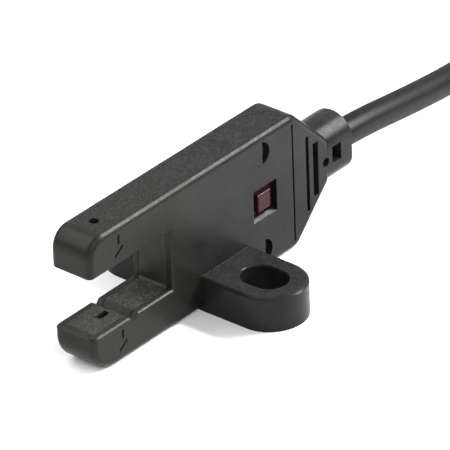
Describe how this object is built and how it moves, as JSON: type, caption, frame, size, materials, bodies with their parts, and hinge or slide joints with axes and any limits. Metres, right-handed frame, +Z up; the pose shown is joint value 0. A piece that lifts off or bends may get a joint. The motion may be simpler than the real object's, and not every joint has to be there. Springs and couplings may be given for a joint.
{
  "type": "fork sensor",
  "caption": "Slim U-slot photo sensor with flat mounting ears, indicator window, tapered cable end and a fixed cable with stripped leads.",
  "frame": {"origin": "middle between the two mounting slots, on the flat mounting face", "axes": "+X towards the cable, away from the fork's open end; +Z up through the ears, away from the mounting face; the indicator window faces -Y"},
  "size_m": [0.1228, 0.0304, 0.0137],
  "materials": {
    "case_black": "fine spark-eroded moulded plastic, satin black",
    "cover_dark": "dark infrared-passing resin, semi-gloss",
    "lens_red": "clear red resin",
    "board_green": "solder-masked glass epoxy",
    "clear_resin": "clear moulding resin",
    "chip_black": "moulding compound",
    "chip_tan": "fired ceramic",
    "tinned_metal": "tinned copper",
    "ring_steel": "dark plated steel",
    "core_brown": "smooth vinyl",
    "core_black": "smooth vinyl",
    "core_blue": "smooth vinyl",
    "core_white": "smooth vinyl",
    "cable_black": "semi-gloss vinyl jacket",
    "tie_white": "vinyl-coated twist tie"
  },
  "bodies": {
    "root": {"sensor_case": "case_black", "rear_cap": "case_black", "slit_cover": "cover_dark", "indicator_lens": "lens_red", "circuit_board": "board_green", "indicator_led": "clear_resin", "emitter_led": "clear_resin", "receiver_chip": "clear_resin", "amplifier_chip": "chip_black", "output_transistor": "chip_black", "protection_diode": "chip_black", "resistor_1": "chip_black", "resistor_2": "chip_black", "resistor_3": "chip_black", "capacitor_1": "chip_tan", "capacitor_2": "chip_tan", "emitter_lead_1": "tinned_metal", "emitter_lead_2": "tinned_metal", "receiver_lead_1": "tinned_metal", "receiver_lead_2": "tinned_metal", "receiver_lead_3": "tinned_metal", "crimp_ring": "ring_steel", "core_brown": "core_brown", "core_black": "core_black", "core_blue": "core_blue", "core_white": "core_white", "cable": "cable_black", "cable_hank": "cable_black", "cable_tie": "tie_white", "lead_brown": "core_brown", "lead_black": "core_black", "lead_blue": "core_blue", "lead_white": "core_white", "tip_brown": "tinned_metal", "tip_black": "tinned_metal", "tip_blue": "tinned_metal", "tip_white": "tinned_metal"}
  },
  "joints": []
}
